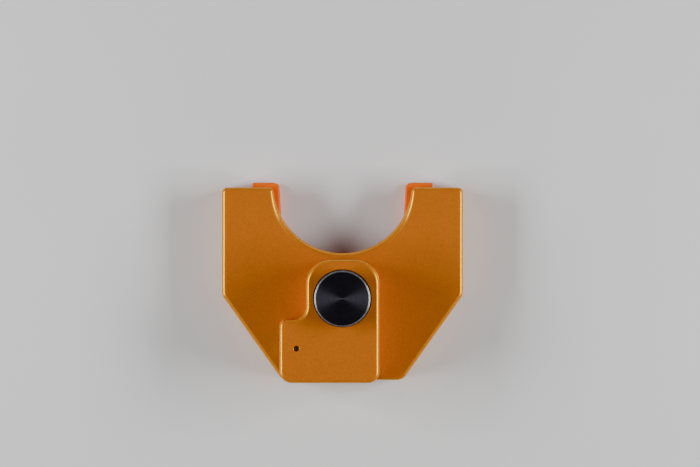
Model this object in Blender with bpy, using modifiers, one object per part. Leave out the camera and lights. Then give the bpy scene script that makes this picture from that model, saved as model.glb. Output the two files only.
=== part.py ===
"""Trailer coupler lock: a cast horseshoe that grips a ball coupler's nose.

A push-in plunger holds it and a keyed barrel frees it. The lock lies on its coupler side. x runs across it,
y from its front face to its open arms, and z up to the plunger's head. Sizes are millimetres, turned into
metres where the meshes are made.
"""

import math

import bmesh
import bpy
from mathutils import Matrix, Vector

MM = 0.001
GAP = 0.3  # clearance between pieces that touch

# Horseshoe casting
WIDTH = 112.0
ARM_END = 89.5  # front face to the arm ends
FRONT_HALF = 28.0  # half the width of the front face
CHAMFER_END = 39.5  # where the slanted corners meet the straight sides
BACK = 1.0  # coupler-side face of the casting
PLATE_LOW = 15.2
PLATE_TOP = 20.5
THROAT_RADIUS = 32.3  # round opening of the underside plate
THROAT_Y = 91.3  # its centre, just past the arm ends
ARM_CORNER = 2.2  # the plate's corner between that opening and the arm end
PLATE_EDGE = 1.8
BLOCK_TOP = 44.5
BLOCK_EDGE = 1.6

# Block for the barrel and boss for the plunger, in plan
BLOCK_LEFT = -28.6
BLOCK_RIGHT = 16.8
BLOCK_REAR = 28.6
BOSS_HALF = 16.4
BOSS_REAR = 56.0

# Jaw liner
LINER_PROUD = 2.3  # past the arm ends
LINER_CENTRE = 58.5  # centre of the throat's round end
LINER_INNER = 29.0
LINER_FLARE = 78.0  # from here on the inner walls open out a little
LINER_MOUTH = 29.8
LINER_CORNER = 2.0
LINER_GROOVE = 39.0
LINER_OUTER = 42.0
LINER_TOP = PLATE_LOW - GAP
GROOVE_LOW = 4.0
GROOVE_HIGH = 12.4

# Plunger, on a vertical axis
PLUNGER_Y = 38.6
PLUNGER_RADIUS = 12.75
PLUNGER_TOP = 52.5
PLUNGER_SKIRT = 35.1  # lower end of the skirt
PLUNGER_TRAVEL = 12.0
SPRING_BORE = 8.8
SPRING_CEILING = 49.0
SHAFT_RADIUS = 4.0
STUD_RADIUS = 2.5
NOSE_RADIUS = 6.0
NOSE_TIP = 13.0
NOSE_TOP = 19.7
WEB_LOW = 20.3
WEB_TOP = 22.8
BUSH_RADIUS = 5.0
BUSH_FLANGE_TOP = WEB_TOP + GAP + 1.0

# Lock barrel, on an axis across the block
BARREL_Y = 14.5
BARREL_Z = 31.2
BARREL_BORE = 8.8
BARREL_RADIUS = 8.5
PLUG_BORE = 6.3
PLUG_RADIUS = 6.0
TAIL_RADIUS = 4.5
BARREL_FRONT = -27.4
BARREL_REAR = -5.6
PLUG_FRONT = -26.7
PLUG_REAR = -5.9
TAIL_REAR = -2.5
CLIP_GROOVE_RADIUS = 3.6
CLIP_GROOVE_FRONT = -5.2
CLIP_GROOVE_REAR = -4.0
CLIP_INNER = 3.9
CLIP_OUTER = 7.2
CLIP_FRONT = -5.0
CLIP_REAR = -4.2
CLIP_MOUTH_HALF = 2.6
BORE_END = 5.3

# Drive pin on the plug's tail, and the pawl that it slides
DRIVE_THROW = 1.8
DRIVE_RADIUS = 1.0
DRIVE_END = 1.6
DRIVE_OFFSET = DRIVE_THROW * math.sin(math.radians(45.0))
PAWL_LOW = 27.1
PAWL_HIGH = 32.1
PAWL_LEFT = -2.2
PAWL_RIGHT = 3.8
PAWL_TAIL = 9.9
PAWL_TIP = 25.3
PAWL_RECESS_RADIUS = 10.4  # bottom of the plunger's locking groove

# Wafers in the plug, level with its surface, as a key holds them. Heights are from the barrel's axis.
WAFER_FIRST = -18.0
WAFER_PITCH = 2.4
WAFER_COUNT = 5
WAFER_THICK = 0.9
WAFER_HALF = 2.2
WAFER_SLOT_MARGIN = 1.2  # of the housing's slots past the first and last wafer
WAFER_SLOT_REACH = 7.2
WAFER_LOW = -5.4
WAFER_HIGH = 5.5
WAFER_TRAVEL = 1.0  # up into the housing's slot when no key holds them
WINDOW_LOW = -4.3
WINDOW_TALL = 7.0
WINDOW_HALF = 1.2
EAR_LOW = -0.4
EAR_HIGH = 0.5
EAR_NEAR = 1.8
EAR_FAR = 3.9
WAFER_SPRING_Y = 3.3
WAFER_SPRING_RADIUS = 0.45
WAFER_SPRING_LOW = -3.2
FINE_WIRE = 0.22

# Keyhole
KEYWAY_HALF = 0.95
KEYWAY_TALL = 4.1
KEYWAY_END = -7.0
KEY_SLOT_HALF = 1.1
CAP_FRONT = -27.6
CAP_REAR = -27.0
SHUTTER_HINGE = -1.7  # hinge line beside the barrel's axis
SHUTTER_X = -26.1
SHUTTER_ROD_RADIUS = 0.45
SHUTTER_ROD_HALF = 4.7
SHUTTER_FLAP_LOW = -2.7
SHUTTER_FLAP_HIGH = 4.4
SHUTTER_FLAP_FAR = 1.25
SHUTTER_RECESS_DEEP = 3.8
SHUTTER_RECESS_HALF = 5.0

# Plate that closes the block's keyed side
FACE_LOW = 22.4
FACE_HIGH = 41.0
FACE_NEAR = 3.2
FACE_FAR = 25.0
FACE_THICK = 0.8

# Retaining pin of the barrel
PIN_X = -20.9
PIN_Y = 15.7
PIN_TOP = 43.0
PIN_LOW = BARREL_Z + PLUG_BORE + 0.6
PIN_RADIUS = 1.0
PIN_CHAMFER = 0.3
PIN_HOLE_RADIUS = 1.3

FRONT_Y = -(ARM_END + LINER_PROUD) / 2.0
BARREL_AXIS = (BARREL_Y, BARREL_Z)


def remove_everything():
    for old in list(bpy.data.objects):
        bpy.data.objects.remove(old, do_unlink=True)


def new_collection(name):
    made = bpy.data.collections.new(name)
    bpy.context.scene.collection.children.link(made)
    return made


remove_everything()
PARTS = new_collection("trailer_coupler_lock")
CUTTERS = new_collection("cutters")

FRAME = bpy.data.objects.new("front_face_frame", None)
FRAME.location = (0.0, FRONT_Y * MM, 0.0)
PARTS.objects.link(FRAME)


# Materials


def material(name, colour, metallic, roughness):
    made = bpy.data.materials.new(name)
    made.use_nodes = True
    shader = made.node_tree.nodes["Principled BSDF"]
    shader.inputs["Base Color"].default_value = (*colour, 1.0)
    shader.inputs["Metallic"].default_value = metallic
    shader.inputs["Roughness"].default_value = roughness
    return made


GOLD_PAINT = material("gold_paint", (0.42, 0.13, 0.008), 0.6, 0.35)
ORANGE_PLASTIC = material("orange_plastic", (0.90, 0.16, 0.02), 0.0, 0.5)
BLACKED_STEEL = material("blacked_steel", (0.012, 0.011, 0.014), 0.9, 0.3)
HARD_STEEL = material("hard_steel", (0.45, 0.45, 0.46), 1.0, 0.3)
SPRING_STEEL = material("spring_steel", (0.35, 0.35, 0.37), 1.0, 0.35)
BRONZE = material("bronze", (0.45, 0.27, 0.12), 1.0, 0.4)
ZINC = material("zinc", (0.50, 0.51, 0.53), 1.0, 0.42)
BRASS = material("brass", (0.62, 0.44, 0.16), 1.0, 0.32)
STAINLESS = material("stainless", (0.60, 0.60, 0.60), 1.0, 0.25)
BLACK_PLASTIC = material("black_plastic", (0.012, 0.012, 0.013), 0.0, 0.55)


# Outlines, as lists of (x, y) in millimetres


def arc(centre, radius, start, end, steps):
    """Points on a circle from one angle to another, both in degrees."""
    angles = [math.radians(start + (end - start) * n / steps) for n in range(steps + 1)]
    return [(centre[0] + radius * math.cos(a), centre[1] + radius * math.sin(a)) for a in angles]


def rounded(corners, step_degrees=15.0):
    """An outline from (x, y, radius) corners, each turned into an arc that touches both of its sides."""
    outline = []
    for n, (x, y, radius) in enumerate(corners):
        corner = Vector((x, y))
        if radius == 0.0:
            outline.append((x, y))
            continue
        before = Vector(corners[n - 1][:2])
        after = Vector(corners[(n + 1) % len(corners)][:2])
        back = (before - corner).normalized()
        ahead = (after - corner).normalized()
        opening = back.angle(ahead)
        reach = radius / math.tan(opening / 2.0)
        centre = corner + (back + ahead).normalized() * (radius / math.sin(opening / 2.0))
        first = corner + back * reach - centre
        turn = (corner + ahead * reach - centre).angle_signed(first)
        steps = max(2, round(abs(math.degrees(turn)) / step_degrees))
        for k in range(steps + 1):
            spoke = Matrix.Rotation(turn * k / steps, 2) @ first
            outline.append(tuple(centre + spoke))
    return outline


def throat(radius, centre, end, steps):
    """A U shape: a half circle open towards +y, with straight sides up to end."""
    return [(radius, end)] + arc((0.0, centre), radius, 0.0, -180.0, steps) + [(-radius, end)]


# Solids


def place(obj, collection, paint=None):
    obj.parent = FRAME
    collection.objects.link(obj)
    if paint is not None:
        obj.data.materials.append(paint)
    return obj


def hide_cutter(obj):
    obj.hide_render = True
    obj.display_type = "WIRE"
    return obj


def finish_mesh(name, mesh, collection, paint, smooth_angle):
    if smooth_angle:
        mesh.shade_smooth()
        mesh.set_sharp_from_angle(angle=math.radians(smooth_angle))
    obj = place(bpy.data.objects.new(name, mesh), collection, paint)
    return obj if collection is PARTS else hide_cutter(obj)


def extruded(name, outlines, low, high, collection=None, paint=None, edge=0.0, edge_steps=2):
    """Flat outlines raised from low to high, with their long edges rounded by edge."""
    data = bpy.data.curves.new(name, "CURVE")
    data.dimensions = "2D"
    data.fill_mode = "BOTH"
    data.extrude = ((high - low) / 2.0 - edge) * MM
    data.bevel_depth = edge * MM
    data.offset = -edge * MM
    data.bevel_resolution = edge_steps
    for outline in outlines:
        spline = data.splines.new("POLY")
        spline.points.add(len(outline) - 1)
        spline.use_cyclic_u = True
        for point, (x, y) in zip(spline.points, outline):
            point.co = (x * MM, y * MM, 0.0, 1.0)
    curve = bpy.data.objects.new(name, data)
    CUTTERS.objects.link(curve)
    bpy.context.view_layer.update()
    graph = bpy.context.evaluated_depsgraph_get()
    mesh = bpy.data.meshes.new_from_object(curve.evaluated_get(graph))
    bpy.data.objects.remove(curve)
    weld_mesh(mesh)
    mesh.transform(Matrix.Translation((0.0, 0.0, (low + high) / 2.0 * MM)))
    return finish_mesh(name, mesh, collection or CUTTERS, paint, 30.0)


def weld_mesh(mesh):
    work = bmesh.new()
    work.from_mesh(mesh)
    bmesh.ops.remove_doubles(work, verts=work.verts, dist=1e-6)
    bmesh.ops.recalc_face_normals(work, faces=work.faces)
    work.to_mesh(mesh)
    work.free()


def box(name, low, high, collection=None, paint=None, edge=0.0):
    """A box between two corners, with its origin at its middle and its edges rounded by edge."""
    size = [(b - a) * MM for a, b in zip(low, high)]
    work = bmesh.new()
    bmesh.ops.create_cube(work, size=1.0, matrix=Matrix.Diagonal((*size, 1.0)))
    mesh = bpy.data.meshes.new(name)
    work.to_mesh(mesh)
    work.free()
    obj = finish_mesh(name, mesh, collection or CUTTERS, paint, 0.0)
    obj.location = [(a + b) / 2.0 * MM for a, b in zip(low, high)]
    if edge:
        bevel = obj.modifiers.new("rounded edges", "BEVEL")
        bevel.width = edge * MM
        bevel.segments = 2
    return obj


def turned(name, profile, steps, collection=None, paint=None, closed=False):
    """A turned solid about its own z axis. The profile is (radius, height) pairs, down its outer side."""
    mesh = bpy.data.meshes.new(name)
    points = [(radius * MM, 0.0, height * MM) for radius, height in profile]
    edges = [(n, n + 1) for n in range(len(points) - 1)]
    if closed:
        edges.append((len(points) - 1, 0))
    mesh.from_pydata(points, edges, [])
    obj = place(bpy.data.objects.new(name, mesh), collection or CUTTERS, paint)
    screw = obj.modifiers.new("turned", "SCREW")
    screw.angle = math.tau
    screw.steps = steps
    screw.render_steps = steps
    screw.use_merge_vertices = True
    screw.merge_threshold = 1e-6
    screw.use_smooth_shade = True
    return obj if collection is PARTS else hide_cutter(obj)


def rod(radius, low, high):
    """The profile of a plain cylinder."""
    return [(0.0, high), (radius, high), (radius, low), (0.0, low)]


def tube(inner, outer, low, high):
    """The closed profile of a plain ring."""
    return [(outer, high), (outer, low), (inner, low), (inner, high)]


def along_x(obj, centre=BARREL_AXIS, start=0.0):
    """Stands a turned piece on an axis across the lock: its heights become x."""
    obj.rotation_euler = (0.0, math.pi / 2.0, 0.0)
    obj.location = (start * MM, centre[0] * MM, centre[1] * MM)
    return obj


def at_plunger(obj):
    obj.location = (0.0, PLUNGER_Y * MM, 0.0)
    return obj


def combine(target, other, operation):
    step = target.modifiers.new(f"{operation.lower()} {other.name}", "BOOLEAN")
    step.operation = operation
    step.solver = "EXACT"
    step.object = other
    return target


def cut(target, *cutters):
    for cutter in cutters:
        combine(target, cutter, "DIFFERENCE")
    return target


def join(target, *others):
    for other in others:
        combine(target, other, "UNION")
    return target


def coil(name, centre, radius, wire, turns, low, high, per_turn, roundness, paint):
    """A compression spring between two heights, with its first and last turns closed up."""
    closed_pitch = wire * 1.2
    bottom = low + wire / 2.0
    rise = high - low - wire
    open_pitch = (rise - 2.0 * closed_pitch) / (turns - 2.0)
    data = bpy.data.curves.new(name, "CURVE")
    data.dimensions = "3D"
    data.bevel_depth = wire / 2.0 * MM
    data.bevel_resolution = roundness
    data.use_fill_caps = True
    spline = data.splines.new("POLY")
    count = int(turns * per_turn)
    spline.points.add(count)
    for n, point in enumerate(spline.points):
        turn = turns * n / count
        middle = min(max(turn - 1.0, 0.0), turns - 2.0)
        height = bottom + (turn - middle) * closed_pitch + middle * open_pitch
        angle = math.tau * turn
        x = radius * math.cos(angle)
        y = radius * math.sin(angle)
        point.co = (x * MM, y * MM, height * MM, 1.0)
    obj = place(bpy.data.objects.new(name, data), PARTS, paint)
    obj.location = (centre[0] * MM, centre[1] * MM, 0.0)
    return obj


# Castings and jaw


def horseshoe_outline():
    half = WIDTH / 2.0
    reach = THROAT_RADIUS + ARM_CORNER
    rise = THROAT_Y - ARM_END + ARM_CORNER
    corner_x = math.sqrt(reach ** 2 - rise ** 2)
    corner_y = ARM_END - ARM_CORNER
    lean = math.degrees(math.asin(rise / reach))
    sides = [
        (corner_x, ARM_END, 0.0),
        (half, ARM_END, 2.4),
        (half, CHAMFER_END, 5.0),
        (FRONT_HALF, 0.0, 5.0),
        (-FRONT_HALF, 0.0, 5.0),
        (-half, CHAMFER_END, 5.0),
        (-half, ARM_END, 2.4),
        (-corner_x, ARM_END, 0.0),
    ]
    right = arc((corner_x, corner_y), ARM_CORNER, 180.0 - lean, 90.0, 5)
    left = arc((-corner_x, corner_y), ARM_CORNER, 90.0, lean, 5)
    opening = arc((0.0, THROAT_Y), THROAT_RADIUS, 180.0 + lean, 360.0 - lean, 32)
    return right[:-1] + rounded(sides) + left[1:] + opening[1:-1]


def block_outline():
    return rounded([
        (BLOCK_LEFT, 0.0, 5.5),
        (BLOCK_RIGHT, 0.0, 5.0),
        (BLOCK_RIGHT, BOSS_REAR, 11.0),
        (-BOSS_HALF, BOSS_REAR, 11.0),
        (-BOSS_HALF, BLOCK_REAR, 6.0),
        (BLOCK_LEFT, BLOCK_REAR, 3.0),
    ])


def face_outline(grow):
    """The rounded oblong of the block's keyed side: x stands for height, y for depth into the lock."""
    low = FACE_LOW - grow
    high = FACE_HIGH + grow
    near = FACE_NEAR - grow
    far = FACE_FAR + grow
    return rounded([(low, near, 3.0), (high, near, 3.0), (high, far, 3.0), (low, far, 3.0)])


def facing_left(obj, x):
    """Turns a flat outline to face -x: its x becomes height, and its own height runs towards +x from x."""
    turn = Matrix(((0.0, 0.0, 1.0), (0.0, 1.0, 0.0), (1.0, 0.0, 0.0)))
    obj.data.transform(turn.to_4x4())
    obj.data.flip_normals()
    obj.location = (x * MM, 0.0, 0.0)
    return obj


def make_lock_body():
    body = extruded("lock_body", [horseshoe_outline()], BACK, PLATE_TOP, PARTS, GOLD_PAINT, PLATE_EDGE)
    block = extruded("block_and_boss", [block_outline()], PLATE_LOW + 0.4, BLOCK_TOP, edge=BLOCK_EDGE)
    pocket_radius = LINER_OUTER + GAP
    pocket_outline = throat(pocket_radius, LINER_CENTRE, ARM_END + 9.0, 32)
    jaw_pocket = extruded("jaw_pocket", [pocket_outline], -5.0, PLATE_LOW)
    stepped_bore = [
        (0.0, 50.0),
        (PLUNGER_RADIUS + GAP, 50.0),
        (PLUNGER_RADIUS + GAP, WEB_TOP),
        (BUSH_RADIUS + GAP, WEB_TOP),
        (BUSH_RADIUS + GAP, WEB_LOW),
        (NOSE_RADIUS + GAP, WEB_LOW),
        (NOSE_RADIUS + GAP, 10.0),
        (0.0, 10.0),
    ]
    plunger_bore = at_plunger(turned("plunger_bore", stepped_bore, 48))
    barrel_bore = along_x(turned("barrel_bore", rod(BARREL_BORE, -35.0, BORE_END), 40))
    face_recess = facing_left(extruded("face_recess", [face_outline(GAP)], -10.0, 0.0), BARREL_FRONT)
    pawl_channel = box(
        "pawl_channel",
        (PAWL_LEFT - GAP, BARREL_Y, PAWL_LOW - GAP),
        (PAWL_RIGHT + GAP, PLUNGER_Y, PAWL_HIGH + GAP),
    )
    pin_hole = turned("pin_hole", rod(PIN_HOLE_RADIUS, BARREL_Z, 50.0), 24)
    pin_hole.location = (PIN_X * MM, PIN_Y * MM, 0.0)
    join(body, block)
    cut(body, jaw_pocket, plunger_bore, barrel_bore, face_recess, pawl_channel, pin_hole)


def make_jaw_liner():
    end = ARM_END + LINER_PROUD
    outer = throat(LINER_OUTER, LINER_CENTRE, end, 32)
    inner = throat(LINER_INNER, LINER_CENTRE, LINER_FLARE, 32)[::-1]
    corners = [(x, y, 0.0) for x, y in outer]
    corners.append((-LINER_MOUTH, end, LINER_CORNER))
    corners += [(x, y, 0.0) for x, y in inner]
    corners.append((LINER_MOUTH, end, LINER_CORNER))
    liner = extruded("jaw_liner", [rounded(corners)], 0.0, LINER_TOP, PARTS, ORANGE_PLASTIC, 0.7, 1)
    groove_outline = throat(LINER_GROOVE, LINER_CENTRE, end + 9.0, 32)
    groove = extruded("flange_groove", [groove_outline], GROOVE_LOW, GROOVE_HIGH)
    cut(liner, groove)


# Plunger


def make_plunger():
    groove_low = PAWL_LOW - GAP + PLUNGER_TRAVEL
    groove_high = PAWL_HIGH + GAP + PLUNGER_TRAVEL
    shoulder = NOSE_TOP + GAP
    chamfer = 0.7
    profile = [
        (0.0, PLUNGER_TOP),
        (PLUNGER_RADIUS - chamfer, PLUNGER_TOP),
        (PLUNGER_RADIUS, PLUNGER_TOP - chamfer),
        (PLUNGER_RADIUS, groove_high),
        (PAWL_RECESS_RADIUS, groove_high),
        (PAWL_RECESS_RADIUS, groove_low),
        (PLUNGER_RADIUS, groove_low),
        (PLUNGER_RADIUS, PLUNGER_SKIRT + chamfer),
        (PLUNGER_RADIUS - chamfer, PLUNGER_SKIRT),
        (SPRING_BORE, PLUNGER_SKIRT),
        (SPRING_BORE, SPRING_CEILING),
        (SHAFT_RADIUS, SPRING_CEILING),
        (SHAFT_RADIUS, shoulder),
        (STUD_RADIUS, shoulder),
        (STUD_RADIUS, NOSE_TIP + 2.5),
        (0.0, NOSE_TIP + 2.5),
    ]
    at_plunger(turned("plunger", profile, 48, PARTS, BLACKED_STEEL))


def make_plunger_nose():
    hole = STUD_RADIUS + GAP
    profile = [
        (0.0, NOSE_TIP + 2.2),
        (hole, NOSE_TIP + 2.2),
        (hole, NOSE_TOP),
        (NOSE_RADIUS - 0.5, NOSE_TOP),
        (NOSE_RADIUS, NOSE_TOP - 0.5),
        (NOSE_RADIUS, NOSE_TIP + 1.5),
        (NOSE_RADIUS - 1.5, NOSE_TIP),
        (0.0, NOSE_TIP),
    ]
    at_plunger(turned("plunger_nose", profile, 32, PARTS, HARD_STEEL))


def make_guide_bush():
    bore = SHAFT_RADIUS + GAP
    profile = [
        (7.5, BUSH_FLANGE_TOP),
        (7.5, WEB_TOP + GAP),
        (BUSH_RADIUS, WEB_TOP + GAP),
        (BUSH_RADIUS, WEB_LOW),
        (bore, WEB_LOW),
        (bore, BUSH_FLANGE_TOP),
    ]
    at_plunger(turned("guide_bush", profile, 32, PARTS, BRONZE, closed=True))


def make_plunger_spring():
    low = BUSH_FLANGE_TOP + GAP
    high = SPRING_CEILING - GAP
    coil("plunger_spring", (0.0, PLUNGER_Y), 6.6, 1.4, 6.5, low, high, 16, 2, SPRING_STEEL)


# Lock barrel


def make_barrel_housing():
    profile = tube(PLUG_BORE, BARREL_RADIUS, BARREL_FRONT, BARREL_REAR)
    housing = along_x(turned("barrel_housing", profile, 40, PARTS, ZINC, closed=True))
    first = WAFER_FIRST - WAFER_SLOT_MARGIN
    last = wafer_places()[-1] + WAFER_SLOT_MARGIN
    reach = WAFER_SLOT_REACH
    half = WAFER_HALF + 0.4
    locked_slot = box(
        "locked_slot",
        (first, BARREL_Y - half, BARREL_Z + 2.0),
        (last, BARREL_Y + half, BARREL_Z + reach),
    )
    turned_slot = box(
        "turned_slot",
        (first, BARREL_Y - reach, BARREL_Z - half),
        (last, BARREL_Y - 2.0, BARREL_Z + half),
    )
    pin_seat = turned("pin_seat", rod(PIN_HOLE_RADIUS, BARREL_Z, 50.0), 24)
    pin_seat.location = (PIN_X * MM, PIN_Y * MM, 0.0)
    cut(housing, locked_slot, turned_slot, pin_seat)


def wafer_places():
    return [WAFER_FIRST + WAFER_PITCH * n for n in range(WAFER_COUNT)]


def make_barrel_plug():
    profile = [
        (0.0, TAIL_REAR),
        (TAIL_RADIUS, TAIL_REAR),
        (TAIL_RADIUS, CLIP_GROOVE_REAR),
        (CLIP_GROOVE_RADIUS, CLIP_GROOVE_REAR),
        (CLIP_GROOVE_RADIUS, CLIP_GROOVE_FRONT),
        (TAIL_RADIUS, CLIP_GROOVE_FRONT),
        (TAIL_RADIUS, PLUG_REAR),
        (PLUG_RADIUS, PLUG_REAR),
        (PLUG_RADIUS, PLUG_FRONT),
        (0.0, PLUG_FRONT),
    ]
    plug = along_x(turned("barrel_plug", profile, 40, PARTS, BRASS))
    drive_centre = (BARREL_Y - DRIVE_OFFSET, BARREL_Z - DRIVE_OFFSET)
    drive_profile = rod(DRIVE_RADIUS, TAIL_REAR - 1.5, DRIVE_END)
    drive_pin = along_x(turned("drive_pin", drive_profile, 20), drive_centre)
    join(plug, drive_pin)
    keyway = box(
        "keyway",
        (PLUG_FRONT - 1.0, BARREL_Y - KEYWAY_HALF, BARREL_Z - KEYWAY_TALL),
        (KEYWAY_END, BARREL_Y + KEYWAY_HALF, BARREL_Z + KEYWAY_TALL),
    )
    shutter_recess = box(
        "shutter_recess",
        (PLUG_FRONT - 1.0, BARREL_Y - 3.0, BARREL_Z - SHUTTER_RECESS_HALF),
        (PLUG_FRONT + SHUTTER_RECESS_DEEP, BARREL_Y + 1.6, BARREL_Z + SHUTTER_RECESS_HALF),
    )
    cut(plug, keyway, shutter_recess)
    for n, x in enumerate(wafer_places(), start=1):
        half = WAFER_THICK / 2.0 + GAP
        slot = box(
            f"wafer_slot_{n}",
            (x - half, BARREL_Y - WAFER_HALF - GAP, BARREL_Z + WAFER_LOW - GAP),
            (x + half, BARREL_Y + WAFER_HALF + GAP, BARREL_Z + WAFER_HIGH + WAFER_TRAVEL),
        )
        half = WAFER_SPRING_RADIUS + FINE_WIRE / 2.0 + GAP
        spring_pocket = box(
            f"spring_pocket_{n}",
            (x - half, BARREL_Y + EAR_NEAR - GAP, BARREL_Z + WAFER_SPRING_LOW - GAP),
            (x + half, BARREL_Y + EAR_FAR + GAP, BARREL_Z + EAR_HIGH + WAFER_TRAVEL + GAP),
        )
        cut(plug, slot, spring_pocket)


def make_plug_cap():
    cap = along_x(turned("plug_cap", rod(PLUG_RADIUS, CAP_FRONT, CAP_REAR), 40, PARTS, STAINLESS))
    key_slot = box(
        "key_slot",
        (CAP_FRONT - 1.0, BARREL_Y - KEY_SLOT_HALF, BARREL_Z - KEYWAY_TALL),
        (CAP_REAR + 1.0, BARREL_Y + KEY_SLOT_HALF, BARREL_Z + KEYWAY_TALL),
    )
    cut(cap, key_slot)


def make_plug_clip():
    ring = tube(CLIP_INNER, CLIP_OUTER, CLIP_FRONT, CLIP_REAR)
    clip = along_x(turned("plug_clip", ring, 32, PARTS, SPRING_STEEL, closed=True))
    mouth = box(
        "clip_mouth",
        (CLIP_FRONT - 1.0, BARREL_Y - CLIP_MOUTH_HALF, BARREL_Z - CLIP_OUTER - 1.0),
        (CLIP_REAR + 1.0, BARREL_Y + CLIP_MOUTH_HALF, BARREL_Z),
    )
    cut(clip, mouth)


def make_wafers():
    for n, x in enumerate(wafer_places(), start=1):
        half = WAFER_THICK / 2.0
        wafer = box(
            f"wafer_{n}",
            (x - half, BARREL_Y - WAFER_HALF, BARREL_Z + WAFER_LOW),
            (x + half, BARREL_Y + WAFER_HALF, BARREL_Z + WAFER_HIGH),
            PARTS,
            BRASS,
        )
        ear = box(
            f"wafer_ear_{n}",
            (x - half, BARREL_Y + EAR_NEAR, BARREL_Z + EAR_LOW),
            (x + half, BARREL_Y + EAR_FAR, BARREL_Z + EAR_HIGH),
        )
        join(wafer, ear)
        low = WINDOW_LOW + 0.35 * (n % 3)  # each window sits at its own height, as the key's cuts do
        window = box(
            f"wafer_window_{n}",
            (x - WAFER_THICK, BARREL_Y - WINDOW_HALF, BARREL_Z + low),
            (x + WAFER_THICK, BARREL_Y + WINDOW_HALF, BARREL_Z + low + WINDOW_TALL),
        )
        cut(wafer, window)


def make_wafer_springs():
    low = BARREL_Z + WAFER_SPRING_LOW
    high = BARREL_Z + EAR_LOW - GAP
    for n, x in enumerate(wafer_places(), start=1):
        centre = (x, BARREL_Y + WAFER_SPRING_Y)
        name = f"wafer_spring_{n}"
        coil(name, centre, WAFER_SPRING_RADIUS, FINE_WIRE, 4.5, low, high, 8, 0, SPRING_STEEL)


def make_key_shutter():
    pivot = rod(SHUTTER_ROD_RADIUS, BARREL_Z - SHUTTER_ROD_HALF, BARREL_Z + SHUTTER_ROD_HALF)
    shutter = turned("key_shutter", pivot, 16, PARTS, STAINLESS)
    shutter.location = (SHUTTER_X * MM, (BARREL_Y + SHUTTER_HINGE) * MM, 0.0)
    flap = box(
        "shutter_flap",
        (SHUTTER_X - 0.25, BARREL_Y + SHUTTER_HINGE, BARREL_Z + SHUTTER_FLAP_LOW),
        (SHUTTER_X + 0.25, BARREL_Y + SHUTTER_FLAP_FAR, BARREL_Z + SHUTTER_FLAP_HIGH),
    )
    join(shutter, flap)


def make_shutter_spring():
    centre = (SHUTTER_X, BARREL_Y + SHUTTER_HINGE)
    low = BARREL_Z - SHUTTER_ROD_HALF + 0.5
    high = BARREL_Z + SHUTTER_FLAP_LOW - GAP
    coil("shutter_spring", centre, 2.0 * SHUTTER_ROD_RADIUS, FINE_WIRE, 3.0, low, high, 10, 0, SPRING_STEEL)


def make_barrel_pin():
    profile = [
        (0.0, PIN_TOP),
        (PIN_RADIUS - PIN_CHAMFER, PIN_TOP),
        (PIN_RADIUS, PIN_TOP - PIN_CHAMFER),
        (PIN_RADIUS, PIN_LOW),
        (0.0, PIN_LOW),
    ]
    pin = turned("barrel_pin", profile, 20, PARTS, HARD_STEEL)
    pin.location = (PIN_X * MM, PIN_Y * MM, 0.0)


def make_face_plate():
    plate = extruded("face_plate", [face_outline(0.0)], 0.0, FACE_THICK, PARTS, BLACK_PLASTIC, 0.4, 1)
    facing_left(plate, BARREL_FRONT - GAP - FACE_THICK)
    key_window = along_x(turned("key_window", rod(PLUG_RADIUS + 0.5, -35.0, -25.0), 40))
    cut(plate, key_window)


def make_locking_pawl():
    pawl = box(
        "locking_pawl",
        (PAWL_LEFT, PAWL_TAIL, PAWL_LOW),
        (PAWL_RIGHT, PAWL_TIP, PAWL_HIGH),
        PARTS,
        HARD_STEEL,
    )
    drive_y = BARREL_Y - DRIVE_OFFSET
    reach = DRIVE_RADIUS + 0.35
    pocket = box(
        "drive_pocket",
        (PAWL_LEFT - 1.0, drive_y - reach, BARREL_Z - DRIVE_THROW - reach + 0.05),
        (2.0, drive_y + reach, BARREL_Z - DRIVE_OFFSET + reach - 0.05),
    )
    cut(pawl, pocket)


make_lock_body()
make_jaw_liner()
make_plunger()
make_plunger_nose()
make_guide_bush()
make_plunger_spring()
make_locking_pawl()
make_barrel_housing()
make_barrel_plug()
make_plug_cap()
make_plug_clip()
make_wafers()
make_wafer_springs()
make_key_shutter()
make_shutter_spring()
make_barrel_pin()
make_face_plate()
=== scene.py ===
import math

import bmesh
import bpy
from mathutils import Matrix, Vector


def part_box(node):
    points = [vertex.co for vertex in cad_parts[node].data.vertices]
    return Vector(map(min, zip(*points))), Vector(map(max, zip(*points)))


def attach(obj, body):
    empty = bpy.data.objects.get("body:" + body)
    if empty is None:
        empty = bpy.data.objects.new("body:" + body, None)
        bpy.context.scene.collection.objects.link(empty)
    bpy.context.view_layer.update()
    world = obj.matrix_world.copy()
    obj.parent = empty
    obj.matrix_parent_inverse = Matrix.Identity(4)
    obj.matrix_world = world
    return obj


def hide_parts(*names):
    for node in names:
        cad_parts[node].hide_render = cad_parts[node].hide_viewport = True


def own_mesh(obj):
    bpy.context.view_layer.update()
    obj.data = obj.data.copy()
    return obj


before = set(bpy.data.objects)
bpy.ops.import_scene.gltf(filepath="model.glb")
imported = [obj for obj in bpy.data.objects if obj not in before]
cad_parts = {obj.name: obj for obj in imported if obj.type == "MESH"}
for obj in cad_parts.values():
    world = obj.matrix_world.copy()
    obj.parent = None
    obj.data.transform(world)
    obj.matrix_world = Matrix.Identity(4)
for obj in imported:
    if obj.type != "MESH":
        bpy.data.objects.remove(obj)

for startup_name in ("Cube", "Light", "Camera"):
    startup_object = bpy.data.objects.get(startup_name)
    if startup_object is not None:
        bpy.data.objects.remove(startup_object, do_unlink=True)
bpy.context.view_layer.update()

# The looks of a trailer coupler lock: a gold painted casting with an orange jaw liner, a blacked plunger and
# a keyed barrel. It lies on its coupler side, and the camera is straight above it. Sizes are in millimetres,
# x across, y back from the front face and z up. in_frame() turns them into metres in the CAD's frame.

MM = 0.001
FRONT_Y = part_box("lock_body")[0].y / MM  # the front face, in the CAD's frame
GAP = 0.3  # the clearance between pieces that fit together

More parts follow.
